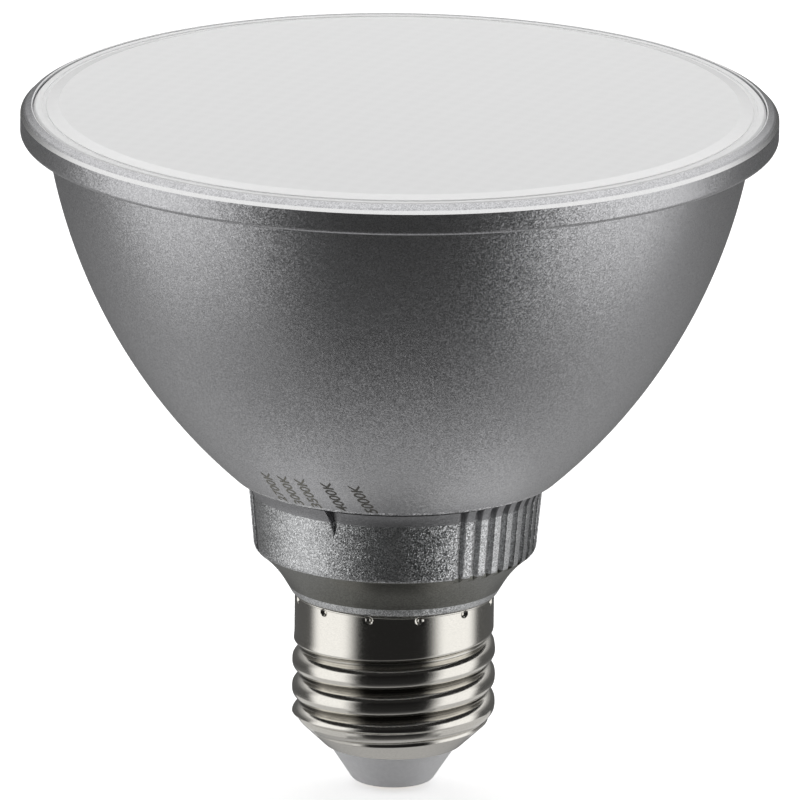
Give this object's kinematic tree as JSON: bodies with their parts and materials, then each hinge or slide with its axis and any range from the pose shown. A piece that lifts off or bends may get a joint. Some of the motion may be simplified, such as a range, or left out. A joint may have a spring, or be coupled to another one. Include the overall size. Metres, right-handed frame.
{
  "type": "reflector lamp",
  "caption": "Short-neck reflector lamp with a frosted front lens, a silver bowl, a turning colour selector collar with a pointer, and a medium screw base.",
  "frame": {"origin": "middle of the centre contact's face, on the lamp's axis", "axes": "+Z along the lamp's axis from the base to the front lens; the selector's pointer faces -Y at rest"},
  "size_m": [0.0965, 0.0964, 0.0909],
  "materials": {
    "frosted_lens": "frosted polycarbonate",
    "silver_moulding": "metal-flake silver",
    "silver_collar": "metal-flake silver, fine grain",
    "neck_plastic": "moulded",
    "nickel": "nickel-plated brass sheet",
    "insulator": "moulded",
    "contact_brass": "bare",
    "spring_bronze": "bare",
    "circuit_board": "solder mask",
    "light_board_white": "white solder mask",
    "chip_yellow": "phosphor",
    "spreader_aluminium": "stamped",
    "capacitor_sleeve": "shrink sleeve",
    "transformer_tape": "wound tape",
    "rectifier_black": "moulded",
    "wire_red": "extruded",
    "wire_white": "extruded",
    "screw_steel": "zinc-plated"
  },
  "bodies": {
    "lamp": {"front_lens": "frosted_lens", "bowl_housing": "silver_moulding", "neck_housing": "neck_plastic", "screw_shell": "nickel", "base_insulator": "insulator", "centre_contact": "contact_brass", "selector_board": "circuit_board", "driver_board": "circuit_board", "storage_capacitor": "capacitor_sleeve", "transformer": "transformer_tape", "bridge_rectifier": "rectifier_black", "live_wire": "wire_red", "neutral_wire": "wire_white", "lamp_leads": "wire_red", "heat_spreader": "spreader_aluminium", "light_board": "light_board_white", "light_chips": "chip_yellow", "board_screws": "screw_steel", "neck_screws": "screw_steel"},
    "selector": {"selector_collar": "silver_collar", "contact_wiper": "spring_bronze"}
  },
  "joints": [
    {"name": "collar_turn", "type": "hinge", "parent": "lamp", "child": "selector", "pos_m": [0, 0, 0.0337], "axis": [0, 0, 1], "range_deg": [-26, 16]}
  ]
}
